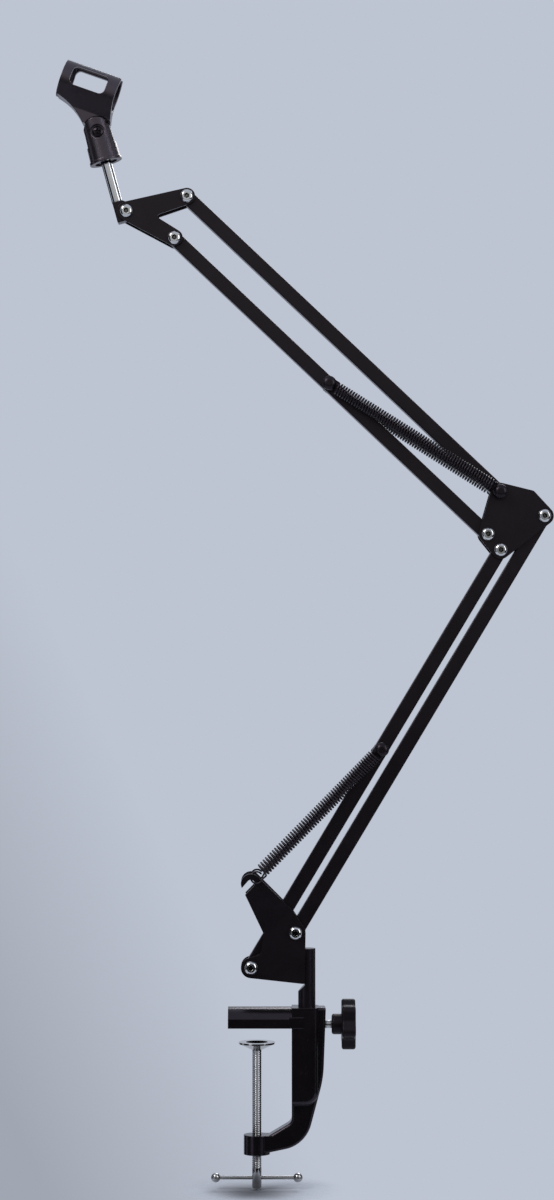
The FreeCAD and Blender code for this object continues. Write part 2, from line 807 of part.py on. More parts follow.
pivot_bolt("base_bolt_left", base_left)
pivot_bolt("base_bolt_right", base_right)
node(group("base_nuts", [pivot_nut("base_nut_left", base_left),
                         pivot_nut("base_nut_right", base_right)]), "base_nuts")
node(group("base_washers", washer_pair("base_washer_left", base_left)
           + washer_pair("base_washer_right", base_right)), "base_washers")
pivot_bolt("elbow_bolt_low", elbow_low)
pivot_bolt("elbow_bolt_right", elbow_right)
pivot_bolt("elbow_bolt_left", elbow_left)
spring_bolt("elbow_spring_bolt", elbow_top, plate_outer)
node(group("elbow_nuts", [pivot_nut("elbow_nut_low", elbow_low),
                          pivot_nut("elbow_nut_right", elbow_right),
                          pivot_nut("elbow_nut_left", elbow_left),
                          pivot_nut("elbow_nut_top", elbow_top, peg_seat)]), "elbow_nuts")
node(group("elbow_washers", washer_pair("elbow_washer_low", elbow_low)
           + washer_pair("elbow_washer_right", elbow_right)
           + washer_pair("elbow_washer_left", elbow_left)
           + washer_pair("elbow_washer_top", elbow_top)), "elbow_washers")
pivot_bolt("head_bolt_low", head_low)
pivot_bolt("head_bolt_top", head_top)
pivot_bolt("tilt_bolt", tilt)
node(group("head_nuts", [pivot_nut("head_nut_low", head_low),
                         pivot_nut("head_nut_top", head_top),
                         pivot_nut("tilt_nut", tilt)]), "head_nuts")
node(group("head_washers", washer_pair("head_washer_low", head_low)
           + washer_pair("head_washer_top", head_top)
           + washer_pair("tilt_washer", tilt)), "head_washers")
spring_bolt("lower_spring_bolt", lower_peg, bar_half)
node(pivot_nut("lower_spring_nut", lower_peg, peg_seat), "lower_spring_nut")
spring_bolt("upper_spring_bolt", upper_peg, bar_half)
node(pivot_nut("upper_spring_nut", upper_peg, peg_seat), "upper_spring_nut")


# Square tube bars with ends rounded about their pivots
def bar(name, spot, pitch, lean, peg_reach=None):
    tube = node(new_body(name, spot, lean), name)
    side = new_sketch(tube)
    belt(side, [(ZERO, ZERO, bar_half, 1), (pitch, ZERO, bar_half, 1)])
    pad(tube, side, d.bar_width, both=True)
    half = bar_half.value
    round_edges(tube, d.bar_corner, lambda edge: abs(abs(edge.CenterOfMass.y) - half) < 1e-6)
    hollow = new_sketch(tube, "YZ_Plane", lift=-d.bar_width)
    inner = bar_half - d.bar_wall
    outline(hollow, [(-inner, -inner), (inner, -inner), (inner, inner), (-inner, inner)])
    pocket(tube, hollow, pitch + d.bar_width * 2, reverse=True)
    holes = new_sketch(tube)
    circle(holes, ZERO, ZERO, pivot_hole)
    circle(holes, pitch, ZERO, pivot_hole)
    if peg_reach is not None:
        circle(holes, peg_reach, ZERO, peg_hole)
    pocket(tube, holes, d.bar_width * 2, both=True)


bar("lower_spring_bar", base_left, d.lower_pitch, d.lower_lean, d.lower_peg_reach)
bar("lower_guide_bar", base_right, d.lower_pitch, d.lower_lean)
bar("upper_spring_bar", elbow_left, d.upper_pitch, d.upper_lean, d.upper_peg_reach)
bar("upper_guide_bar", elbow_top, d.upper_pitch, d.upper_lean)

# Elbow plates
link_run = d.lower_link * cosine(d.lower_link_lean)
link_rise = d.lower_link * sine(d.lower_link_lean)
top_run = d.upper_link * cosine(d.upper_link_lean)
top_rise = d.upper_link * sine(d.upper_link_lean)
elbow_pivots = [
    (ZERO, ZERO),
    (link_run, link_rise),
    (d.elbow_step_across + top_run, d.elbow_step_level + top_rise),
    (d.elbow_step_across, d.elbow_step_level),
]
head_pivots = [(ZERO, ZERO), (top_run, top_rise), (d.tilt_across, d.tilt_level)]


def plate(name, spot, lift, lobes, pivots):
    body = node(new_body(name, spot), name)
    face = new_sketch(body, lift=lift)
    belt(face, lobes)
    for x, z in pivots:
        circle(face, x, z, peg_hole)
    pad(body, face, d.sheet)


for name, lift in (("front", plate_inner), ("rear", -plate_outer)):
    plate("elbow_plate_" + name, elbow_low, lift, [
        elbow_pivots[0] + (d.lobe_radius, 1),
        elbow_pivots[1] + (d.lobe_radius, 1),
        (d.elbow_corner_across, d.elbow_corner_level, d.elbow_corner, 1),
        elbow_pivots[2] + (d.lobe_radius, 1),
        elbow_pivots[3] + (d.lobe_radius, 1),
    ], elbow_pivots)
    plate("head_plate_" + name, head_low, lift, [
        head_pivots[0] + (d.head_lobe, 1),
        (d.notch_across, d.notch_level, d.notch_round, -1),
        head_pivots[1] + (d.head_lobe, 1),
        head_pivots[2] + (d.tilt_lobe, 1),
    ], head_pivots)

# Tilt block and microphone shaft
block = node(new_body("tilt_block", tilt, d.shaft_lean), "tilt_block")
sketch = new_sketch(block)
block_left = -(d.shaft_offset + d.block_left)
belt(sketch, [
    (block_left + d.block_corner, d.block_corner - d.block_bottom, d.block_corner, 1),
    (ZERO, ZERO, d.block_lobe, 1),
    (d.shaft_radius - d.shaft_offset, d.shaft_foot, None, 1),
    (block_left, d.shaft_foot, None, 1),
])
pad(block, sketch, d.bar_width, both=True)
sketch = new_sketch(block)
circle(sketch, ZERO, ZERO, pivot_hole)
pocket(block, sketch, d.bar_width * 2, both=True)
sketch = new_sketch(block, "XY_Plane", lift=d.shaft_foot)
circle(sketch, -d.shaft_offset, ZERO, d.spigot_radius + d.hole_gap)
pocket(block, sketch, d.spigot_length + d.hole_gap)
shaft_spot = tilt.turned(-d.shaft_offset, ZERO, d.shaft_lean)
adaptor_start = d.clip_foot + d.adaptor_sink
adaptor_end = adaptor_start + d.adaptor_length
node(turned("mic_shaft", shaft_spot, [
    (ZERO, d.shaft_foot - d.spigot_length),
    (d.spigot_radius, d.shaft_foot - d.spigot_length),
    (d.spigot_radius, d.shaft_foot),
    (d.shaft_radius, d.shaft_foot),
    (d.shaft_radius, adaptor_end),
    (ZERO, adaptor_end),
], "Z", d.shaft_lean), "mic_shaft")
bore = d.shaft_radius + d.running_gap
node(turned("thread_adaptor", shaft_spot, [
    (bore, adaptor_start),
    (d.adaptor_radius, adaptor_start),
    (d.adaptor_radius, adaptor_end),
    (bore, adaptor_end),
], "Z", d.shaft_lean), "thread_adaptor")

# Clip base with its fork
base = node(new_body("clip_base", shaft_spot, d.shaft_lean), "clip_base")
sketch = new_sketch(base)
rim_top = d.clip_foot + d.clip_rim_height
ear_top = d.clip_pivot + d.ear_radius
outline(sketch, [
    (ZERO, d.clip_foot),
    (d.clip_rim_radius, d.clip_foot),
    (d.clip_rim_radius, rim_top),
    (d.clip_body_radius, rim_top),
    (d.ear_radius, d.clip_pivot),
    (d.ear_radius, ear_top),
    (ZERO, ear_top),
])
spin(base, sketch, "V_Axis")
sketch = new_sketch(base)
wide = d.ear_radius + d.overrun
outline(sketch, [
    (-wide, d.clip_pivot),
    (-d.ear_radius, d.clip_pivot, d.ear_radius, -1),
    (ZERO, ear_top, d.ear_radius, -1),
    (d.ear_radius, d.clip_pivot),
    (wide, d.clip_pivot),
    (wide, ear_top + d.overrun),
    (-wide, ear_top + d.overrun),
])
pocket(base, sketch, wide * 4, both=True)
sketch = new_sketch(base)
outline(sketch, [
    (-wide, d.fork_floor),
    (wide, d.fork_floor),
    (wide, d.clip_pivot + wide),
    (-wide, d.clip_pivot + wide),
])
pocket(base, sketch, d.fork_slot, both=True)
sketch = new_sketch(base)
circle(sketch, ZERO, d.clip_pivot, d.clip_screw_radius + d.hole_gap)
pocket(base, sketch, d.ear_width * 2, both=True)
ear_half = d.ear_width / 2
sketch = new_sketch(base, lift=ear_half + d.overrun)
circle(sketch, ZERO, d.clip_pivot, d.counterbore_radius)
pocket(base, sketch, d.counterbore_depth + d.overrun)
sketch = new_sketch(base, lift=-(ear_half + d.overrun))
circle(sketch, ZERO, d.clip_pivot, d.counterbore_radius)
pocket(base, sketch, d.overrun, reverse=True)
sketch = new_sketch(base, "XY_Plane", lift=d.clip_foot)
circle(sketch, ZERO, ZERO, d.adaptor_radius + d.hole_gap)
pocket(base, sketch, d.adaptor_sink + d.adaptor_length + d.hole_gap, reverse=True)
head_seat = ear_half - d.counterbore_depth
screw_tip = ear_half + d.clip_nut_height + d.bolt_tip
node(turned("clip_screw", clip, [
    (ZERO, -(head_seat + d.clip_screw_head_height), d.clip_screw_round, 1),
    (d.clip_screw_head, -(head_seat + d.head_rim)),
    (d.clip_screw_head, -head_seat),
    (d.clip_screw_radius, -head_seat),
    (d.clip_screw_radius, screw_tip),
    (ZERO, screw_tip),
]), "clip_screw")
node(nut("clip_nut", clip, ear_half, d.clip_nut_radius, d.clip_nut_height,
         d.clip_screw_radius + d.running_gap), "clip_nut")

# Clip holder: barrel with windows, neck flowing from it round the ears, tongue in the fork
holder_spot = clip.turned(ZERO, d.barrel_rise, d.holder_lean)
holder = node(new_body("clip_holder", holder_spot, d.holder_lean), "clip_holder")
sketch = new_sketch(holder)
outline(sketch, [
    (-d.barrel_left, ZERO),
    (d.barrel_right, ZERO),
    (d.barrel_right, d.barrel_right_radius),
    (-d.barrel_left, d.barrel_left_radius),
])
spin(holder, sketch, "H_Axis")
neck_bottom = d.neck_floor - d.barrel_rise
holder_pivot = Spot(ZERO, -d.barrel_rise)
tail = holder_pivot.polar(d.neck_floor, d.neck_left_turn)
cheek = holder_pivot.polar(d.neck_floor, d.neck_right_turn)
sketch = new_sketch(holder)
outline(sketch, [
    (-d.neck_left, -d.neck_top),
    (-d.neck_left, -d.neck_edge, d.neck_sweep, -1),
    (tail.x - d.neck_tail, tail.z),
    (tail.x, tail.z, d.neck_floor, -1),
    (cheek.x, cheek.z, d.neck_sweep_right, -1),
    (d.barrel_right, -d.neck_top),
])
pad(holder, sketch, d.neck_top_width, both=True)
wide = d.neck_top_width / 2 + d.overrun
for side in (1, -1):
    sketch = new_sketch(holder, "YZ_Plane")
    outline(sketch, [
        (d.neck_width / 2 * side, tail.z - d.overrun),
        (wide * side, tail.z - d.overrun),
        (wide * side, -d.neck_top),
        (d.neck_top_width / 2 * side, -d.neck_top),
        (d.neck_width / 2 * side, neck_bottom),
    ])
    pocket(holder, sketch, d.barrel_left * 4, both=True)
sketch = new_sketch(holder)
belt(sketch, [
    (ZERO, -d.barrel_rise, d.tongue_radius, 1),
    (cheek.x, cheek.z, None, 1),
    (d.barrel_right, -d.neck_edge, None, 1),
    (tail.x, -d.neck_edge, None, 1),
    (tail.x, tail.z, None, 1),
])
pad(holder, sketch, d.tongue_width, both=True)
sketch = new_sketch(holder, "YZ_Plane")
circle(sketch, ZERO, ZERO, d.barrel_bore)
pocket(holder, sketch, d.barrel_left * 4, both=True)
sketch = new_sketch(holder, "YZ_Plane", lift=d.window_across + d.window_width / 2)
circle(sketch, ZERO, ZERO, d.barrel_bore + d.bore_relief)
pocket(holder, sketch, d.window_width)
sketch = new_sketch(holder, "YZ_Plane")
gap_half = d.barrel_gap / 2
gap_top = d.barrel_left_radius + d.overrun
outline(sketch, [
    (-gap_half, d.barrel_gap_floor),
    (gap_half, d.barrel_gap_floor),
    (gap_half, gap_top),
    (-gap_half, gap_top),
])
pocket(holder, sketch, d.barrel_left * 4, both=True)
sketch = new_sketch(holder)
run = d.window_width / 2 - d.window_round
rise = d.window_height / 2 - d.window_round
belt(sketch, [
    (d.window_across - run, d.window_level - rise, d.window_round, 1),
    (d.window_across + run, d.window_level - rise, d.window_round, 1),
    (d.window_across + run, d.window_level + rise, d.window_round, 1),
    (d.window_across - run, d.window_level + rise, d.window_round, 1),
])
pocket(holder, sketch, d.barrel_left_radius * 4, both=True)
sketch = new_sketch(holder)
circle(sketch, ZERO, -d.barrel_rise, d.clip_screw_radius + d.running_gap)
pocket(holder, sketch, d.ear_width, both=True)


# Springs: one unbroken wire each, a loop on the bolt and a loop in the hook or on a bolt
WAYPOINTS_PER_TURN = 2
LOOP_STEPS = 4
PROBES_PER_TURN = 24


def unit(vector):
    return FreeCAD.Vector(vector).normalize()


def arc_between(start, way, end):
    """The arc from start to end that sets off along way."""
    chord = end - start
    knee = start + way * (chord.Length ** 2 / (2 * chord.dot(way)))
    bow = knee - (start + chord * 0.5)
    turn = 2 * math.atan2(2 * bow.Length, chord.Length)
    middle = start + chord * 0.5 + unit(bow) * (chord.Length / 2 * math.tan(turn / 4))
    return Part.Arc(start, middle, end).toShape()


def biarc(start, way, end, way_out):
    """Two arcs from start to end that meet smoothly and keep both directions."""
    gap = end - start
    both = way + way_out
    square = both.dot(both) - 4
    lean = gap.dot(both)
    size = gap.dot(gap)
    reach = (lean - math.sqrt(lean * lean - square * size)) / square
    meeting = (start + way * reach + end - way_out * reach) * 0.5
    first = arc_between(start, way, meeting)
    second = arc_between(end, -way_out, meeting)
    return [first, second]


def loop_stations(centre, out, radial):
    """Points and directions of an end loop, from the coil outward."""
    stations = []
    first = d.loop_start.value
    last = d.loop_end.value
    for step in range(LOOP_STEPS + 1):
        swing = math.radians(first + (last - first) * step / LOOP_STEPS)
        away = radial * math.cos(swing) + out * math.sin(swing)
        stations.append((centre + away * d.coil_radius.value,
                         out * math.cos(swing) - radial * math.sin(swing)))
    point, way = stations[-1]
    return stations, point + way * (2 * d.wire_radius.value)


def spring(name, first_loop, first_radial, last_loop, last_radial):
    """A right-handed spring between two loop centres."""
    radius = d.coil_radius.value
    wire = d.wire_radius.value
    along = unit(last_loop - first_loop)
    side = unit(last_radial - along * last_radial.dot(along))
    up = along.cross(side)
    other = unit(first_radial - along * first_radial.dot(along))
    lead = math.radians(d.loop_swing.value)
    start_turn = math.atan2(other.dot(up), other.dot(side)) + lead
    end_turn = 2 * math.pi * round(d.coil_turns.value) - lead
    if start_turn > math.pi:
        start_turn -= 2 * math.pi
    coil_start = first_loop + along * d.loop_rise.value
    coil_end = last_loop - along * d.loop_rise.value
    length = (coil_end - coil_start).Length
    count = int(math.ceil((end_turn - start_turn) / (2 * math.pi) * WAYPOINTS_PER_TURN))
    coil = []
    for step in range(count + 1):
        share = step / count
        turn = start_turn + (end_turn - start_turn) * share
        away = side * math.cos(turn) + up * math.sin(turn)
        round_way = up * math.cos(turn) - side * math.sin(turn)
        rise = length / (end_turn - start_turn) / radius
        coil.append((coil_start + along * (length * share) + away * radius,
                     unit(round_way + along * rise)))
    outward, outward_tip = loop_stations(last_loop, along, side)
    inward, inward_tip = loop_stations(first_loop, -along, other)
    stations = [(point, -way) for point, way in reversed(inward)] + coil + outward
    edges = [Part.LineSegment(inward_tip, stations[0][0]).toShape()]
    for here, there in zip(stations, stations[1:]):
        edges.extend(biarc(here[0], here[1], there[0], there[1]))
    edges.append(Part.LineSegment(stations[-1][0], outward_tip).toShape())
    path = Part.Wire(Part.__sortEdges__(edges))
    start_way = unit(stations[0][0] - inward_tip)
    section = Part.Wire(Part.Circle(inward_tip, start_way, wire).toShape())
    tube = path.makePipeShell([section], True, False)
    item = doc.addObject("Part::Feature", name)
    item.Shape = tube
    node(item, name)
    probes = path.discretize(Number=PROBES_PER_TURN * int(end_turn / (2 * math.pi) + 3))
    near = PROBES_PER_TURN // 2
    least = min((probes[i] - probes[j]).Length for i in range(len(probes))
                for j in range(i + near, min(len(probes), i + 4 * PROBES_PER_TURN)))
    print("%s: least gap to itself %.2f mm" % (name, least - 2 * wire))


def at(spot, depth):
    return FreeCAD.Vector(spot.x.value, depth, spot.z.value)


hook_rise = d.fold_level + d.hook_reach * cosine(d.flare) - d.sheet / 2 * sine(d.flare)
hook_depth = plate_inner + d.hook_reach * sine(d.flare) + d.sheet / 2 * cosine(d.flare)
hook = base_left.turned(d.hook_across, hook_rise, d.lower_link_lean)
peg_shift = (d.coil_radius - d.wire_radius - d.bolt_radius - d.hole_gap).value
seat_shift = (d.hook_inner - d.wire_radius - d.seat_gap + d.coil_radius).value
for name, side in (("front", -1), ("rear", 1)):
    depth = spring_plane.value * side
    outward = FreeCAD.Vector(0, side, 0)
    hook_point = at(hook, hook_depth.value * side)
    peg_point = at(lower_peg, depth)
    way = unit(peg_point - hook_point)
    across = unit(way.cross(outward))
    twist = math.radians(d.hook_twist.value)
    spring("lower_spring_" + name, hook_point + way * seat_shift,
           across * (-side * math.cos(twist)) + outward * math.sin(twist),
           peg_point - way * peg_shift, across)
    top_point = at(elbow_top, depth)
    peg_point = at(upper_peg, depth)
    way = unit(peg_point - top_point)
    across = unit(way.cross(outward))
    spring("upper_spring_" + name, top_point + way * peg_shift, across,
           peg_point - way * peg_shift, across)

# Final checks and the files
doc.recompute()
for item in doc.Objects:
    if "Invalid" in item.State or "Error" in item.State:
        raise RuntimeError("%s: %s" % (item.Label, item.State))
os.makedirs("parts", exist_ok=True)
for item in NODES:
    shape = item.Shape
    if shape.isNull() or not shape.isValid():
        raise RuntimeError("bad shape: " + item.Label)
    shape.exportStep("parts/%s.step" % item.Label)
    print("%s: %d solid(s), %.0f mm3" % (item.Label, len(shape.Solids), shape.Volume))
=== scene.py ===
import json
import math

import bpy
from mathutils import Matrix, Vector


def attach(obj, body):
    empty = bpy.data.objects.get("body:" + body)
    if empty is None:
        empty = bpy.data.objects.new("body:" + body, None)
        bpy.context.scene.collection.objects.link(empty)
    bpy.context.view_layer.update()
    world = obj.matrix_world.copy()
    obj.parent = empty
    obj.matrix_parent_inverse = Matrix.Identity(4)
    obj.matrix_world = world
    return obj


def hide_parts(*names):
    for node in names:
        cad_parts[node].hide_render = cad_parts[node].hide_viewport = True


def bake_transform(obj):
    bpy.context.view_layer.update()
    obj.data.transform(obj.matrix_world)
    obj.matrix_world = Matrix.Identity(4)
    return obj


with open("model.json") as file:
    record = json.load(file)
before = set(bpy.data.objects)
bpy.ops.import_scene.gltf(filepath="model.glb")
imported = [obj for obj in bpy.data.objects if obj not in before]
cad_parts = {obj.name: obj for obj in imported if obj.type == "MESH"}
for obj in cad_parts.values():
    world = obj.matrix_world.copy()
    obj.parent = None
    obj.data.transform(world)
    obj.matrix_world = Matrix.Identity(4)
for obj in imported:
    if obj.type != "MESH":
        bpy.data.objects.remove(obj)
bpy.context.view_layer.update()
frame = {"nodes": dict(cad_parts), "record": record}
scene = bpy.context.scene
MM = 0.001
FULL_TURN = 2 * math.pi

# Camera at the photograph's place
CAMERA_PLACE = (0.0140923, -2.0, 0.2444984)
CAMERA_PITCH = math.radians(94)
CAMERA_SENSOR, CAMERA_LENS = 36.0, 84.6
CAMERA_SHIFT_SHARE = -0.1
CAMERA_NEAR = 0.01
camera_data = bpy.data.cameras.new("camera")
camera = bpy.data.objects.new("camera", camera_data)
scene.collection.objects.link(camera)
camera.location = CAMERA_PLACE
camera.rotation_euler = (CAMERA_PITCH, 0, 0)
camera_data.sensor_width = CAMERA_SENSOR
camera_data.lens = CAMERA_LENS
camera_data.shift_y = CAMERA_SHIFT_SHARE
camera_data.clip_start = CAMERA_NEAR
scene.camera = camera
scene.view_settings.view_transform = "Standard"


# Node helpers
def grey(level, tint=(1.0, 1.0, 1.0)):
    return (level * tint[0], level * tint[1], level * tint[2], 1.0)


class Nodes:
    """A short way to write a material's nodes."""

    def __init__(self, tree):
        self.tree = tree

    def add(self, kind, inputs=None, **settings):
        node = self.tree.nodes.new(kind)
        for name, value in settings.items():
            setattr(node, name, value)
        for name, value in (inputs or {}).items():
            self.feed(node.inputs[name], value)
        return node

    def feed(self, place, value):
        """Link a socket to an input, or set the input to a plain value."""
        if isinstance(value, bpy.types.NodeSocket):
            self.tree.links.new(value, place)
        else:
            place.default_value = value

    def where(self):
        return self.add("ShaderNodeTexCoord").outputs["Object"]

    def split(self, vector):
        return self.add("ShaderNodeSeparateXYZ", {0: vector}).outputs

    def length(self, vector):
        return self.add("ShaderNodeVectorMath", {0: vector}, operation="LENGTH").outputs["Value"]

    def noise(self, where, scale, detail, rough, distortion=0.0):
        node = self.add("ShaderNodeTexNoise", {"Vector": where, "Scale": scale, "Detail": detail,
                                               "Roughness": rough, "Distortion": distortion})
        return node.outputs["Fac"]

    def ramp(self, value, stops):
        node = self.add("ShaderNodeValToRGB", {"Fac": value})
        elements = node.color_ramp.elements
        while len(elements) < len(stops):
            elements.new(1.0)
        for element, (place, colour) in zip(elements, stops):
            element.position = place
            element.color = colour
        return node.outputs["Color"]

    def math(self, kind, first, second):
        return self.add("ShaderNodeMath", {0: first, 1: second}, operation=kind).outputs[0]

    def remap(self, value, span, out_span=(0.0, 1.0), kind="LINEAR"):
        node = self.add("ShaderNodeMapRange",
                        {"Value": value, "From Min": span[0], "From Max": span[1],
                         "To Min": out_span[0], "To Max": out_span[1]}, interpolation_type=kind)
        return node.outputs["Result"]

    def mixed(self, share, first, second):
        node = self.add("ShaderNodeMix", {"Factor": share}, data_type="RGBA")
        colours = [place for place in node.inputs if place.type == "RGBA"]
        self.feed(colours[0], first)
        self.feed(colours[1], second)
        return [place for place in node.outputs if place.type == "RGBA"][0]

    def glow(self, colour):
        return self.add("ShaderNodeEmission", {"Color": colour, "Strength": 1.0}).outputs[0]

    def clear(self):
        return self.add("ShaderNodeBsdfTransparent").outputs[0]

    def between(self, share, first, second):
        return self.add("ShaderNodeMixShader", {0: share, 1: first, 2: second}).outputs[0]

    def show(self, surface, output="Material Output"):
        self.tree.links.new(surface, self.tree.nodes[output].inputs["Surface"])


# How every finish varies over its surface
BLOTCH_SCALE, BLOTCH_SPAN = 40.0, (0.3, 0.72)
ROUGH_SPAN = (0.3, 0.7)
BROAD_SHARE, FINE_SHARE = 0.6, 0.4
DUST_SCALE_SHARE, DUST_SPAN = 0.45, (0.66, 0.74)
DUST_GAIN, DUST_LIFT = 3.0, 0.02
# Painted shade in recesses: ambient occlusion darkens the colour toward this tone
RECESS_SHADE_TONE, RECESS_SHADE_SPAN = 0.004, (0.5, 0.8)
RECESS_SHADE_SAMPLES, EDGE_SAMPLES = 8, 6
INK = (1.12, 0.94, 1.2)
INK_GLOSS = (1.0, 0.84, 1.0, 1.0)
BLUISH = (0.985, 0.99, 1.0)
COOL = (0.97, 0.985, 1.0)
WARM = (1.0, 0.985, 0.98)


def finish_of(name, dark, light, rough, grain, bump, metallic=0.0, specular=0.5, speck=0.0,
              tint=(1, 1, 1), depth=0.0002, edge=0.0, recess_shade=0.0):
    """A procedural finish: blotchy colour, rough variation, a fine grain in relief, dust specks,
    edges that look rounded, and painted shade that darkens the colour in recesses."""
    material = bpy.data.materials.new(name)
    material.use_nodes = True
    n = Nodes(material.node_tree)
    sockets = n.tree.nodes["Principled BSDF"].inputs
    where = n.where()
    broad = n.noise(where, BLOTCH_SCALE, detail=5.0, rough=0.6, distortion=0.6)
    fine = n.noise(where, grain, detail=4.0, rough=0.65)
    tones = (grey(dark, tint), grey(light, tint))
    colour = n.ramp(broad, list(zip(BLOTCH_SPAN, tones)))
    if speck:
        dust = n.noise(where, grain * DUST_SCALE_SHARE, detail=2.0, rough=0.5)
        pale = grey(light * DUST_GAIN + DUST_LIFT, tint)
        colour = n.mixed(n.remap(dust, DUST_SPAN, (0.0, speck)), colour, pale)
    # Painted shade: where ambient occlusion finds a recess, the colour is darkened
    if recess_shade:
        open_share = n.add("ShaderNodeAmbientOcclusion", {"Distance": recess_shade},
                           samples=RECESS_SHADE_SAMPLES).outputs["AO"]
        colour = n.mixed(n.remap(open_share, RECESS_SHADE_SPAN), grey(RECESS_SHADE_TONE), colour)
    n.feed(sockets["Base Color"], colour)
    blend = n.math("ADD", n.math("MULTIPLY", broad, BROAD_SHARE), n.math("MULTIPLY", fine, FINE_SHARE))
    n.feed(sockets["Roughness"], n.remap(blend, ROUGH_SPAN, rough))
    relief = n.add("ShaderNodeBump", {"Height": fine, "Strength": bump, "Distance": depth})
    if edge:
        rounded = n.add("ShaderNodeBevel", {"Radius": edge}, samples=EDGE_SAMPLES)
        n.feed(relief.inputs["Normal"], rounded.outputs["Normal"])
    n.feed(sockets["Normal"], relief.outputs["Normal"])
    sockets["Metallic"].default_value = metallic
    sockets["Specular IOR Level"].default_value = specular
    if tint is INK:
        sockets["Specular Tint"].default_value = INK_GLOSS
    return material


FINISHES = {
    "cast_black": finish_of("cast_black_paint", dark=0.003, light=0.0055, rough=(0.16, 0.25), grain=900,
                            bump=0.16, specular=0.42, speck=0.15, depth=0.0003, edge=0.0007, tint=INK),
    "sheet_black": finish_of("sheet_black_paint", dark=0.0045, light=0.007, rough=(0.24, 0.34),
                             grain=2600, bump=0.1, specular=0.3, speck=0.12, edge=0.0005, tint=INK),
    "spring_wire": finish_of("spring_black_oxide", dark=0.005, light=0.009, rough=(0.26, 0.38),
                             grain=3000, bump=0.1, specular=0.35, tint=INK),
    "bolt_black": finish_of("bolt_black_oxide", dark=0.003, light=0.006, rough=(0.22, 0.32), grain=2400,
                            bump=0.1, specular=0.28, edge=0.0003, tint=INK),
    "chrome_bright": finish_of("chrome_polished", dark=0.62, light=0.72, rough=(0.06, 0.14), grain=1800,
                               bump=0.03, metallic=1.0, tint=BLUISH, edge=0.0002, recess_shade=0.004),
    "steel_zinc": finish_of("steel_zinc_plate", dark=0.50, light=0.62, rough=(0.24, 0.36), grain=1500,
                            bump=0.08, metallic=1.0, tint=COOL, edge=0.0002, recess_shade=0.003),
    "knob_plastic": finish_of("knob_moulded", dark=0.004, light=0.007, rough=(0.32, 0.44), grain=3200,
                              bump=0.2, specular=0.16, edge=0.0007, tint=INK),
    "clip_plastic": finish_of("clip_moulded", dark=0.003, light=0.006, rough=(0.26, 0.34), grain=3600,
                              bump=0.16, specular=1.0, edge=0.0008, recess_shade=0.006, tint=INK),
    "nylon": finish_of("nylon_black", dark=0.008, light=0.013, rough=(0.40, 0.50), grain=1500, bump=0.1,
                       specular=0.3, tint=INK),
}
TURNED = finish_of("steel_turned", dark=0.40, light=0.52, rough=(0.08, 0.15), grain=1200, bump=0.04,
                   metallic=1.0, tint=WARM, edge=0.0002, recess_shade=0.002)
DISHED = finish_of("steel_dished", dark=0.45, light=0.58, rough=(0.10, 0.18), grain=1200, bump=0.04,
                   specular=0.0, tint=WARM, edge=0.0002)
# Painted dark reflection in the dish's hollow: its radius, soft edge, tone and upward facing
HOLLOW_RADIUS, HOLLOW_EDGE = 0.0074, 0.0004
HOLLOW_REFLECTION_TONE, HOLLOW_FACING = 0.006, 0.1


def paint_dark_reflection_in_hollow(material):
    """Bare metal all round, but a painted dark reflection inside the dish's hollow: dark and dull round the
    screw's axis.
    """
    n = Nodes(material.node_tree)
    sockets = n.tree.nodes["Principled BSDF"].inputs
    shape = n.add("ShaderNodeNewGeometry").outputs
    axis = n.add("ShaderNodeMapping", {"Vector": shape["Position"], "Scale": (1, 1, 0)})
    reach = n.length(axis.outputs["Vector"])
    upward = n.split(shape["True Normal"])["Z"]
    inside = n.math("MULTIPLY", n.remap(reach, (HOLLOW_RADIUS, HOLLOW_RADIUS + HOLLOW_EDGE), (1.0, 0.0)),
                    n.math("GREATER_THAN", upward, HOLLOW_FACING))
    plain = sockets["Base Color"].links[0].from_socket
    n.feed(sockets["Base Color"], n.mixed(inside, plain, grey(HOLLOW_REFLECTION_TONE)))
    n.feed(sockets["Metallic"], n.math("SUBTRACT", 1.0, inside))


paint_dark_reflection_in_hollow(DISHED)
OWN_FINISH = {"tommy_bar": TURNED, "tommy_ball_left": TURNED, "tommy_ball_right": TURNED,
              "pressure_dish": DISHED}
for row in frame["record"]["subparts"]:
    item = frame["nodes"][row["node"]]
    for place in item.material_slots:
        place.material = OWN_FINISH.get(row["node"], FINISHES[row["material_slot"]])


# Mesh helpers
def spot(x, y, z):
    """A point given in millimetres."""
    return Vector((x, y, z)) * MM


def new_piece(name, verts, faces, finish, body=None):
    mesh = bpy.data.meshes.new(name)
    mesh.from_pydata([tuple(v) for v in verts], [], faces)
    mesh.validate()
    mesh.polygons.foreach_set("use_smooth", [True] * len(mesh.polygons))
    mesh.materials.append(FINISHES[finish])
    item = bpy.data.objects.new(name, mesh)
    scene.collection.objects.link(item)
    if body:
        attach(item, body)
    return item


def ring_faces(count, sides):
    """Faces between rings of points, each ring joined to the next."""
    faces = []
    for i in range(count - 1):
        low = i * sides
        high = low + sides
        for k in range(sides):
            nxt = (k + 1) % sides
            faces.append((low + k, low + nxt, high + nxt, high + k))
    return faces


def tube_along(points, radius, sides):
    """A closed tube round a line of points, its rings carried along without twist."""
    verts = []
    count = len(points)
    ways = []
    for i in range(count):
        ways.append((points[min(i + 1, count - 1)] - points[max(i - 1, 0)]).normalized())
    up = ways[0].orthogonal().normalized()
    for point, way in zip(points, ways):
        up = (up - way * up.dot(way)).normalized()
        side = way.cross(up)
        for k in range(sides):
            turn = FULL_TURN * k / sides
            verts.append(point + (up * math.cos(turn) + side * math.sin(turn)) * radius)
    faces = ring_faces(count, sides)
    faces.append(tuple(reversed(range(sides))))
    faces.append(tuple(range((count - 1) * sides, count * sides)))
    return verts, faces


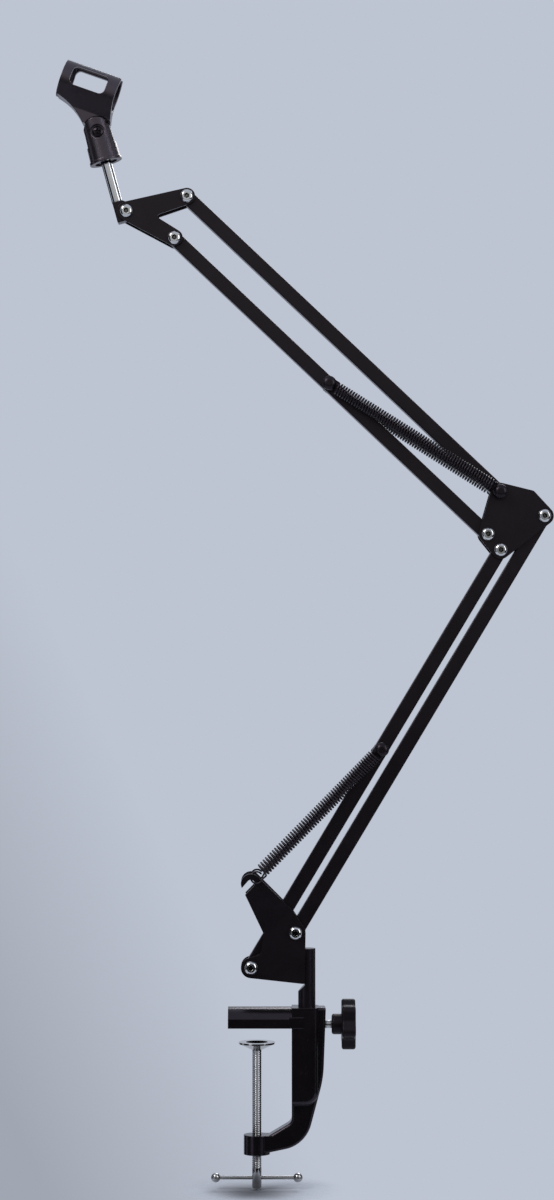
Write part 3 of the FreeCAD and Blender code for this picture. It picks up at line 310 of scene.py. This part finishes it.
def skin(rings):
    """Rings of equal count, joined one to the next, with a middle point closing each end."""
    sides = len(rings[0])
    verts = [v for ring in rings for v in ring]
    faces = ring_faces(len(rings), sides)
    for ring, first in ((rings[0], 0), (rings[-1], (len(rings) - 1) * sides)):
        verts.append(sum(ring, Vector()) / sides)
        top = len(verts) - 1
        for k in range(sides):
            nxt = (k + 1) % sides
            faces.append((first + k, first + nxt, top) if first else (nxt, k, top))
    return verts, faces


# Springs wound as tightly as in the photograph
WIRE = 0.65 * MM
WIRE_SIDES = 10
COIL = 4.08 * MM
LOOP_RISE = 6.0 * MM
LOWER_SPREAD_SHARE, UPPER_SPREAD_SHARE = 0.105, 0.0
# Curls of each spring, and how far its two coil ends lie off their usual places
LOWER_WINDING = {"front": (53, 0.0, 0.0), "rear": (53, -0.8 * MM, 0.9 * MM)}
UPPER_WINDING = {"front": (65, 0.0, 0.0), "rear": (64, 0.43 * MM, -0.18 * MM)}
LOOP_FROM, LOOP_TO = math.radians(-20), math.radians(262)
LOOP_SWING = math.radians(52)
HOOK_TWIST = math.radians(14)
PEG_SHIFT = 0.85 * MM
SEAT_SHIFT = 5.85 * MM
STEPS_PER_TURN, LOOP_STEPS, JOIN_STEPS = 20, 22, 8
JOIN_PULL_SHARE = 1.1


def loop_points(centre, out, radial):
    """The open ring at a spring's end, from the coil round to a short straight tip."""
    points = []
    for step in range(LOOP_STEPS + 1):
        swing = LOOP_FROM + (LOOP_TO - LOOP_FROM) * step / LOOP_STEPS
        points.append(centre + (radial * math.cos(swing) + out * math.sin(swing)) * COIL)
    tip_way = out * math.cos(LOOP_TO) - radial * math.sin(LOOP_TO)
    points.append(points[-1] + tip_way * (2 * WIRE))
    return points


def way_from(a, b):
    return (b - a).normalized()


def join(before, after):
    """A smooth line from the end of one run of points to the start of the next, ends left out."""
    first, last = before[-1], after[0]
    first_way = way_from(before[-2], first)
    last_way = way_from(last, after[1])
    pull = (last - first).length * JOIN_PULL_SHARE
    points = []
    for step in range(1, JOIN_STEPS):
        t = step / JOIN_STEPS
        points.append(first * (2 * t ** 3 - 3 * t ** 2 + 1) + first_way * (pull * (t ** 3 - 2 * t ** 2 + t))
                      + last * (3 * t ** 2 - 2 * t ** 3) + last_way * (pull * (t ** 3 - t ** 2)))
    return points


def spring(name, first_loop, first_radial, last_loop, last_radial, winding, spread):
    """A wound wire between two loop centres, its curls wider apart by the spread at the first end."""
    along = (last_loop - first_loop).normalized()
    side = (last_radial - along * last_radial.dot(along)).normalized()
    up = along.cross(side)
    other = (first_radial - along * first_radial.dot(along)).normalized()
    turns, start_slip, end_slip = winding
    coil_start = first_loop + along * (LOOP_RISE + start_slip)
    coil_end = last_loop - along * (LOOP_RISE - end_slip)
    length = (coil_end - coil_start).length
    start_turn = math.atan2(other.dot(up), other.dot(side)) + LOOP_SWING
    end_turn = FULL_TURN * turns - LOOP_SWING
    count = int((end_turn - start_turn) / FULL_TURN * STEPS_PER_TURN)
    coil = []
    for step in range(count + 1):
        part = step / count
        turn = start_turn + (end_turn - start_turn) * part
        away = side * math.cos(turn) + up * math.sin(turn)
        reach = part + spread * part * (1.0 - part)
        coil.append(coil_start + along * (length * reach) + away * COIL)
    outward = loop_points(last_loop, along, side)
    inward = list(reversed(loop_points(first_loop, -along, other)))
    points = inward + join(inward, coil) + coil + join(coil, outward) + outward
    verts, faces = tube_along(points, WIRE, WIRE_SIDES)
    item = new_piece(name + "_coil", verts, faces, "spring_wire")
    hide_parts(name)
    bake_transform(item)


HOOK = (-4.31, 12.59, 100.48)
SPRING_DEPTH = 12.85
LOWER_PEG = (87.63, 193.78)
ELBOW_TOP = (172.14, 375.45)
UPPER_PEG = (51.08, 452.36)
# Where a spring starts and stops turning with the arm, outward from the arm's pivot
for end, side in (("front", -1), ("rear", 1)):
    depth = SPRING_DEPTH * side
    outward = Vector((0, side, 0))
    hook_point = spot(HOOK[0], HOOK[1] * side, HOOK[2])
    peg_point = spot(LOWER_PEG[0], depth, LOWER_PEG[1])
    way = way_from(hook_point, peg_point)
    across = way.cross(outward).normalized()
    twisted = across * (-side * math.cos(HOOK_TWIST)) + outward * math.sin(HOOK_TWIST)
    spring("lower_spring_" + end, hook_point + way * SEAT_SHIFT, twisted,
           peg_point - way * PEG_SHIFT, across, LOWER_WINDING[end], LOWER_SPREAD_SHARE)
    top_point = spot(ELBOW_TOP[0], depth, ELBOW_TOP[1])
    peg_point = spot(UPPER_PEG[0], depth, UPPER_PEG[1])
    way = way_from(top_point, peg_point)
    across = way.cross(outward).normalized()
    spring("upper_spring_" + end, top_point + way * PEG_SHIFT, across,
           peg_point - way * PEG_SHIFT, across, UPPER_WINDING[end], UPPER_SPREAD_SHARE)

# Clamp screw with its thread, in millimetres
THREAD_PITCH, THREAD_DEPTH = 1.27, 0.22
SCREW_RADIUS, SCREW_CHAMFER = 3.3, 0.7
SCREW_TOP, SCREW_END = -14.0, -111.5
THREAD_FROM, THREAD_TO = -16.0, -98.0
THREAD_RUNOUT = 0.4
THREAD_SIDES, RINGS_PER_PITCH = 32, 9
RIDGE_SLOPE, RIDGE_ROOT_SHARE = 2.6, 0.12


def thread_radius(turn, level):
    """Radius of the screw at an angle and a height."""
    if level > THREAD_FROM or level < THREAD_TO:
        drop = max(0.0, SCREW_END + SCREW_CHAMFER - level)
        return SCREW_RADIUS - drop
    phase = (level / THREAD_PITCH - turn / FULL_TURN) % 1.0
    ridge = min(1.0, max(0.0, (0.5 - abs(phase - 0.5)) * RIDGE_SLOPE - RIDGE_ROOT_SHARE))
    fade = min(1.0, (THREAD_FROM - level) / THREAD_PITCH, (level - THREAD_TO) / THREAD_PITCH)
    return SCREW_RADIUS - THREAD_DEPTH * fade * (1.0 - ridge)


levels = [SCREW_TOP, THREAD_FROM]
level = THREAD_FROM
while level > THREAD_TO:
    level -= THREAD_PITCH / RINGS_PER_PITCH
    levels.append(level)
levels += [THREAD_TO - THREAD_RUNOUT, SCREW_END + SCREW_CHAMFER, SCREW_END]
rings = []
for level in levels:
    ring = []
    for k in range(THREAD_SIDES):
        turn = -FULL_TURN * k / THREAD_SIDES
        radius = thread_radius(turn, level)
        ring.append(spot(radius * math.cos(turn), radius * math.sin(turn), level))
    rings.append(ring)
verts, faces = skin(rings)
screw = new_piece("clamp_screw_thread", verts, faces, "chrome_bright", "screw")
screw.data.materials[0] = TURNED
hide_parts("clamp_screw")

# Clip screw with its cross recess, in millimetres
CLIP_PIVOT = (-114.06, 633.30)
CROSS_SIDES = 96
CROSS_REACH, CROSS_DEPTH = 2.3, 1.5
CROSS_HALF, CROSS_TAPER = 0.62, 0.12
CROSS_WALL, CROSS_RAMP, CROSS_END_SHARE = 0.18, 0.9, 0.15
HEAD_RINGS, HEAD_CORE, HEAD_SPAN = 24, 0.05, 3.6
HEAD_TOP, HEAD_CROWN = 10.2, 6.0
# Radius and depth of each ring from the head's rim to the shank's end
SHANK_RINGS = ((3.9, -8.9), (4.0, -8.7), (4.0, -8.0), (2.0, -8.0), (2.0, 13.6), (1.8, 13.8))


def cross_depth(radius, turn):
    """How deep the cross recess is at a place on the head."""
    side, arm = sorted((abs(radius * math.sin(turn)), abs(radius * math.cos(turn))))
    if arm > CROSS_REACH:
        return 0.0
    half = CROSS_HALF - CROSS_TAPER * arm / CROSS_REACH
    wall = min(1.0, max(0.0, (half - side) / CROSS_WALL))
    return wall * CROSS_DEPTH * min(1.0, (CROSS_REACH - arm) / CROSS_RAMP + CROSS_END_SHARE)


def clip_ring(radius, along, carved):
    """A ring round the clip's pivot, sunk by the recess where it is carved."""
    ring = []
    for k in range(CROSS_SIDES):
        turn = FULL_TURN * k / CROSS_SIDES
        sunk = cross_depth(radius, turn) if carved else 0.0
        ring.append(spot(CLIP_PIVOT[0] + radius * math.cos(turn), along + sunk,
                         CLIP_PIVOT[1] - radius * math.sin(turn)))
    return ring


rings = []
for i in range(HEAD_RINGS + 1):
    radius = HEAD_CORE + HEAD_SPAN * i / HEAD_RINGS
    rise = HEAD_TOP - (HEAD_CROWN - math.sqrt(HEAD_CROWN ** 2 - radius ** 2))
    rings.append(clip_ring(radius, -rise, True))
for radius, along in SHANK_RINGS:
    rings.append(clip_ring(radius, along, False))
verts, faces = skin(rings)
clip_screw = new_piece("clip_screw_cross", verts, faces, "bolt_black", "mic_mount")
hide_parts("clip_screw")

# Stage: pale floor, even surroundings, soft lamps
BACKGROUND = (0.515, 0.556, 0.645, 1.0)


def flat(name, corners, place):
    """A staged rectangle, its corners given round its own middle."""
    mesh = bpy.data.meshes.new(name)
    mesh.from_pydata(corners, [], [(0, 1, 2, 3)])
    item = bpy.data.objects.new(name, mesh)
    scene.collection.objects.link(item)
    item.location = place
    material = bpy.data.materials.new(name)
    material.use_nodes = True
    mesh.materials.append(material)
    return item, Nodes(material.node_tree)


def upright(left, right, foot, head):
    return [(left, 0, foot), (right, 0, foot), (right, 0, head), (left, 0, head)]


# Floor patch under the screw, darkened by a painted shadow where the arm stands, and clear further out
FLOOR_LEVEL = SCREW_END * MM - 0.0012
FLOOR_HALF = 0.6
FLOOR_FADE = (0.025, 0.065)
FLOOR_ROUGH = 0.9
PAPER_GRAIN = 60
PAPER_STOPS = [(0.2, (0.50, 0.54, 0.63, 1)), (0.8, (0.53, 0.57, 0.66, 1))]
SHADE = (0.06, 0.06, 0.075, 1)
SHADE_PLACE, SHADE_SCALE = (0.08, 0.2, 0), (26, 26, 1)
SHADE_SPAN, SHADE_SHARES = (0.1, 1.1), (0.85, 0.0)
corners = [(-FLOOR_HALF, -FLOOR_HALF, 0), (FLOOR_HALF, -FLOOR_HALF, 0),
           (FLOOR_HALF, FLOOR_HALF, 0), (-FLOOR_HALF, FLOOR_HALF, 0)]
floor, n = flat("floor", corners, (0, 0, FLOOR_LEVEL))
shader = n.tree.nodes["Principled BSDF"]
where = n.where()
paper = n.ramp(n.noise(where, PAPER_GRAIN, detail=5.0, rough=0.6), PAPER_STOPS)
# Painted shadow: an oval on the floor's colour, darkened toward SHADE round its place
oval = n.add("ShaderNodeMapping", {"Vector": where, "Location": SHADE_PLACE, "Scale": SHADE_SCALE})
shade = n.remap(n.length(oval.outputs["Vector"]), SHADE_SPAN, SHADE_SHARES, "SMOOTHSTEP")
n.feed(shader.inputs["Base Color"], n.mixed(shade, paper, SHADE))
shader.inputs["Roughness"].default_value = FLOOR_ROUGH
far = n.remap(n.length(where), FLOOR_FADE, kind="SMOOTHSTEP")
n.show(n.between(far, shader.outputs[0], n.clear()))

# Painted shade in the backdrop's lower corner, faded out at every side
# CORNER is the tone of the painted shade
CORNER = (0.195, 0.212, 0.246, 1.0)
CORNER_SHARE = 0.5
CORNER_SLOPE = -0.5
CORNER_FALL = (0.067, 0.357)
CORNER_LEFT = (-0.45, -0.29)
CORNER_FOOT = (-0.5, -0.31)
CORNER_HEAD = (0.55, 0.25)
BACKDROP_PLACE = (0, 0.9, 0)
corner, n = flat("backdrop_corner", upright(-0.6, 0.3, -0.6, 0.6), BACKDROP_PLACE)
corner.visible_diffuse = False
corner.visible_glossy = False
corner.visible_shadow = False
place = n.split(n.where())
fall = n.math("SUBTRACT", n.math("MULTIPLY", place["Z"], CORNER_SLOPE), place["X"])
amount = n.remap(fall, CORNER_FALL, (0.0, CORNER_SHARE))
for value, span in ((place["X"], CORNER_LEFT), (place["Z"], CORNER_FOOT), (place["Z"], CORNER_HEAD)):
    amount = n.math("MULTIPLY", amount, n.remap(value, span))
front = n.math("SUBTRACT", 1.0, n.add("ShaderNodeNewGeometry").outputs["Backfacing"])
n.show(n.between(n.math("MULTIPLY", amount, front), n.clear(), n.glow(CORNER)))

# Dark cards round the stage, seen in polished metal alone: place, width, height, turn, tones by height
FRONT_TONES = [(0.45, 0.01), (0.515, 0.1), (0.61, 0.24), (0.75, 0.55)]
LOW_TONES = [(0.3, 0.01), (1.0, 0.02)]
SIDE_TONES = [(0.3, 0.01), (1.0, 0.03)]
CARDS = {
    "card_front": ((-0.1, -2.6, 0.1), 3.2, 3.6, 0, FRONT_TONES),
    "card_low": ((0.35, -1.1, -0.1), 1.7, 0.5, 0, LOW_TONES),
    "card_left": ((-1.2, 0.75, 0.4), 0.9, 2.4, 55, SIDE_TONES),
    "card_right": ((1.2, 0.75, 0.4), 0.9, 2.4, -55, SIDE_TONES),
    "card_side_left": ((-1.5, -0.5, 0.5), 1.2, 2.2, 100, SIDE_TONES),
    "card_side_right": ((1.5, -0.5, 0.5), 1.2, 2.2, 80, SIDE_TONES),
}
for name, (middle, width, height, turn, tones) in CARDS.items():
    half, tall = width / 2, height / 2
    card, n = flat(name, upright(-half, half, -tall, tall), middle)
    card.rotation_euler = (0, 0, math.radians(turn))
    card.visible_camera = False
    card.visible_diffuse = False
    card.visible_shadow = False
    stops = [(share, grey(tone)) for share, tone in tones]
    rise = n.remap(n.split(n.where())["Z"], (-tall, tall))
    n.show(n.glow(n.ramp(rise, stops)))

# Surroundings: the plain background where it is seen, a paler soft light elsewhere
SKY, SKY_LEVEL = (0.93, 0.96, 1.0, 1.0), 0.45
world = bpy.data.worlds.new("studio")
scene.world = world
world.use_nodes = True
n = Nodes(world.node_tree)
rays = n.add("ShaderNodeLightPath").outputs
mirrored = n.math("MAXIMUM", rays["Is Glossy Ray"], rays["Is Transmission Ray"])
seen = n.math("MAXIMUM", rays["Is Camera Ray"], mirrored)
shown = n.add("ShaderNodeBackground", {"Color": BACKGROUND, "Strength": 1.0}).outputs[0]
light = n.add("ShaderNodeBackground", {"Color": SKY, "Strength": SKY_LEVEL}).outputs[0]
n.show(n.between(seen, light, shown), "World Output")

# Lamps: place, width, height, power, colour
LAMP_TARGET = Vector((0, 0, 0.3))
LAMPS = {
    "key": ((-1.1, -1.0, 1.5), 0.9, 0.9, 14, (1.0, 0.99, 0.97)),
    "fill": ((1.3, -0.8, 0.7), 0.5, 1.2, 6, (0.96, 0.98, 1.0)),
    "rim": ((0.4, 1.3, 1.3), 0.9, 0.6, 8, (1.0, 1.0, 1.0)),
}
for name, (place, width, height, power, colour) in LAMPS.items():
    data = bpy.data.lights.new(name, "AREA")
    data.shape = "RECTANGLE"
    data.size = width
    data.size_y = height
    data.energy = power
    data.color = colour
    item = bpy.data.objects.new(name, data)
    scene.collection.objects.link(item)
    item.location = place
    item.rotation_euler = (LAMP_TARGET - Vector(place)).to_track_quat("-Z", "Y").to_euler()
